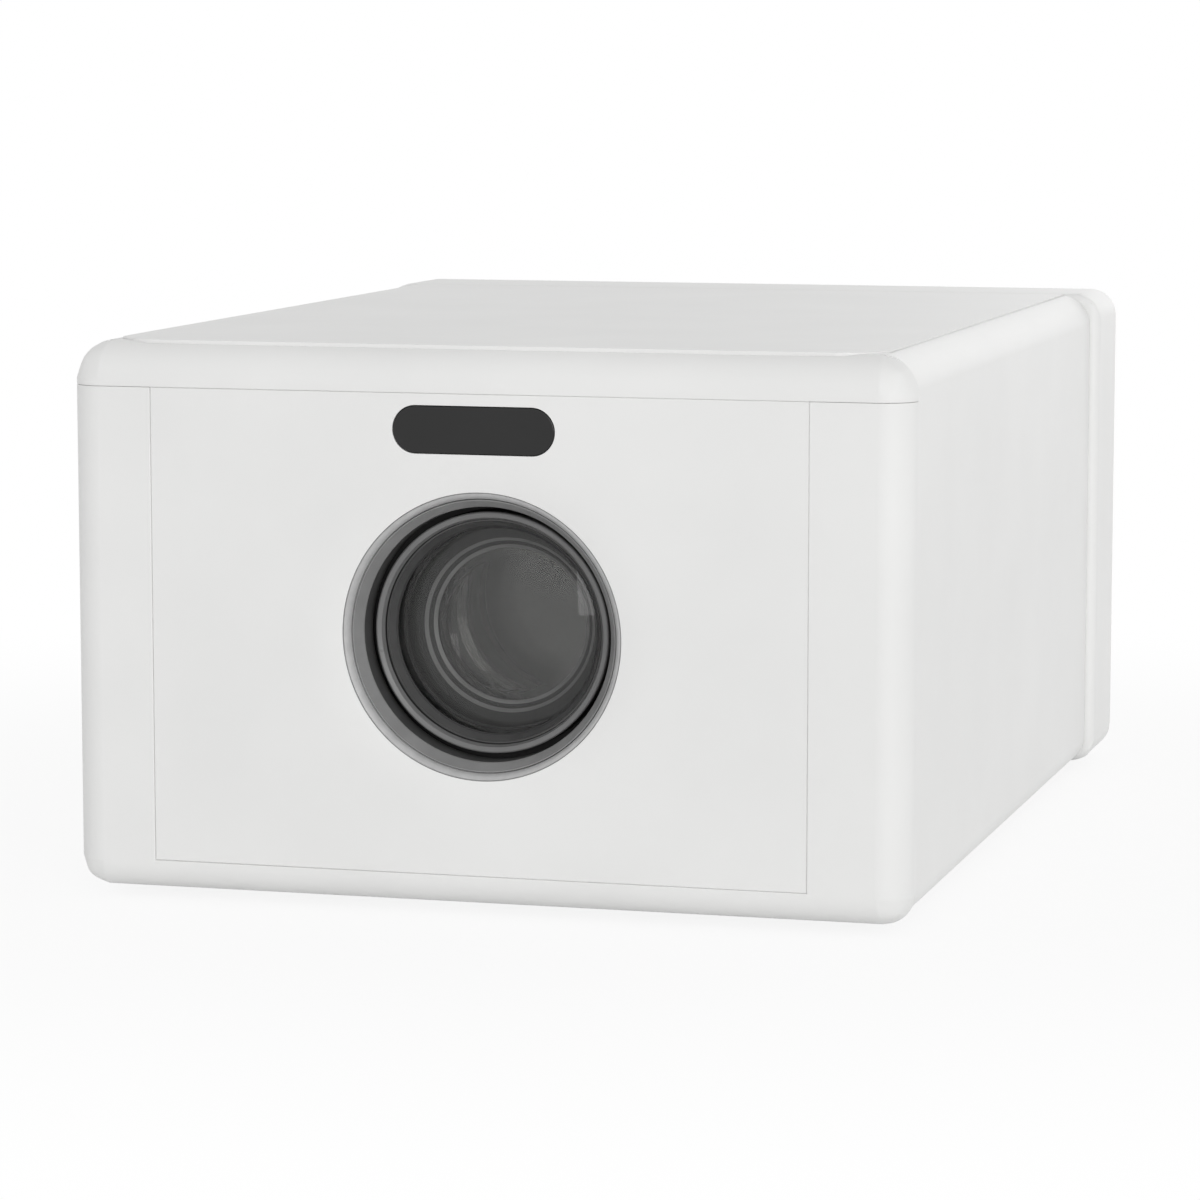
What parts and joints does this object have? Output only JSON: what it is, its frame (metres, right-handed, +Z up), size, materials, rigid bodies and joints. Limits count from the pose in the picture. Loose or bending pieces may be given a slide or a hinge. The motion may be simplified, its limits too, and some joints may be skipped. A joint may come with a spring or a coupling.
{
  "type": "video projector",
  "caption": "Compact box-shaped video projector with a dished lens opening, motor-driven focus, straight LED and LCD light path, rear exhaust fan and rear sockets.",
  "frame": {"origin": "middle of the footprint, on the surface the feet stand on", "axes": "+Z up, the lens looks along -Y, +X to the right as seen from in front of the lens"},
  "size_m": [0.163, 0.222, 0.105],
  "materials": {
    "white_plastic": "fine satin texture",
    "window_plastic": "gloss",
    "circuit_board": "solder resist",
    "grille_plastic": "satin",
    "rubber": "matt",
    "brass": "turned",
    "holder_plastic": "satin grey",
    "barrel_plastic": "semi-gloss grey",
    "black_plastic": "matt",
    "lens_glass": "coated",
    "clear_acrylic": "clear",
    "steel": "plated",
    "white_nylon": "natural",
    "lcd_glass": "polarised",
    "flex_film": "film",
    "white_ceramic": "white",
    "yellow_phosphor": "phosphor",
    "aluminium": "extruded",
    "speaker_paper": "doped paper"
  },
  "bodies": {
    "case": {"front_frame": "white_plastic", "front_brow": "white_plastic", "front_panel": "white_plastic", "top_panel": "white_plastic", "side_panel_left": "white_plastic", "side_panel_right": "white_plastic", "rear_cover": "white_plastic", "base_tray": "white_plastic", "sensor_window": "window_plastic", "sensor_board": "circuit_board", "main_board": "circuit_board", "power_board": "circuit_board", "key_board": "circuit_board", "rear_grille": "grille_plastic", "fan_frame": "grille_plastic", "rubber_feet": "rubber", "tripod_nut": "brass", "lens_bezel": "holder_plastic", "lens_holder": "black_plastic", "engine_lower": "black_plastic", "engine_upper": "black_plastic", "audio_jack": "black_plastic", "mains_inlet": "black_plastic", "speaker_frames": "black_plastic", "heat_glass": "lens_glass", "condenser_lens": "lens_glass", "front_fresnel": "clear_acrylic", "rear_fresnel": "clear_acrylic", "ring_clip": "steel", "focus_motor": "steel", "motor_bracket": "steel", "case_screws": "steel", "engine_screws": "steel", "board_screws": "steel", "fan_screws": "steel", "video_socket": "steel", "data_sockets": "steel", "lcd_panel": "lcd_glass", "lcd_flex": "flex_film", "led_board": "white_ceramic", "led_emitter": "yellow_phosphor", "heat_sink": "aluminium", "speaker_cones": "speaker_paper"},
    "cam_ring": {"focus_ring": "black_plastic"},
    "pinion": {"focus_pinion": "white_nylon", "motor_shaft": "steel"},
    "lens_group": {"lens_barrel": "barrel_plastic", "cam_pins": "steel", "front_lens": "lens_glass", "front_retainer": "black_plastic", "lens_spacers": "black_plastic", "middle_lens": "lens_glass", "rear_lens": "lens_glass", "rear_retainer": "black_plastic"},
    "fan_wheel": {"fan_rotor": "grille_plastic"},
    "button": {"power_button": "white_plastic", "switch_plunger": "black_plastic"}
  },
  "joints": [
    {"name": "cam_ring_turn", "type": "hinge", "parent": "case", "child": "cam_ring", "pos_m": [0, -0.081, 0.052], "axis": [0, 1, 0], "range_deg": [-45.5, 45.5]},
    {"name": "pinion_turn", "type": "hinge", "parent": "case", "child": "pinion", "pos_m": [0.03145, -0.0719, 0.02998], "axis": [0, 1, 0], "range_deg": [-230, 230]},
    {"name": "focus_slide", "type": "slide", "parent": "case", "child": "lens_group", "axis": [0, 1, 0], "range_m": [-0.003, 0.003]},
    {"name": "fan_spin", "type": "hinge", "parent": "case", "child": "fan_wheel", "pos_m": [0, 0.0985, 0.052], "axis": [0, 1, 0], "continuous": true},
    {"name": "button_press", "type": "slide", "parent": "case", "child": "button", "axis": [0, -1, 0], "range_m": [0, 0.0005], "stiffness_N_per_m": 1500, "springref_m": -0.0003}
  ],
  "couplings": [
    {"joint": "cam_ring_turn", "follows": "focus_slide", "rad_per_m": 261.8},
    {"joint": "pinion_turn", "follows": "focus_slide", "rad_per_m": -1309}
  ]
}
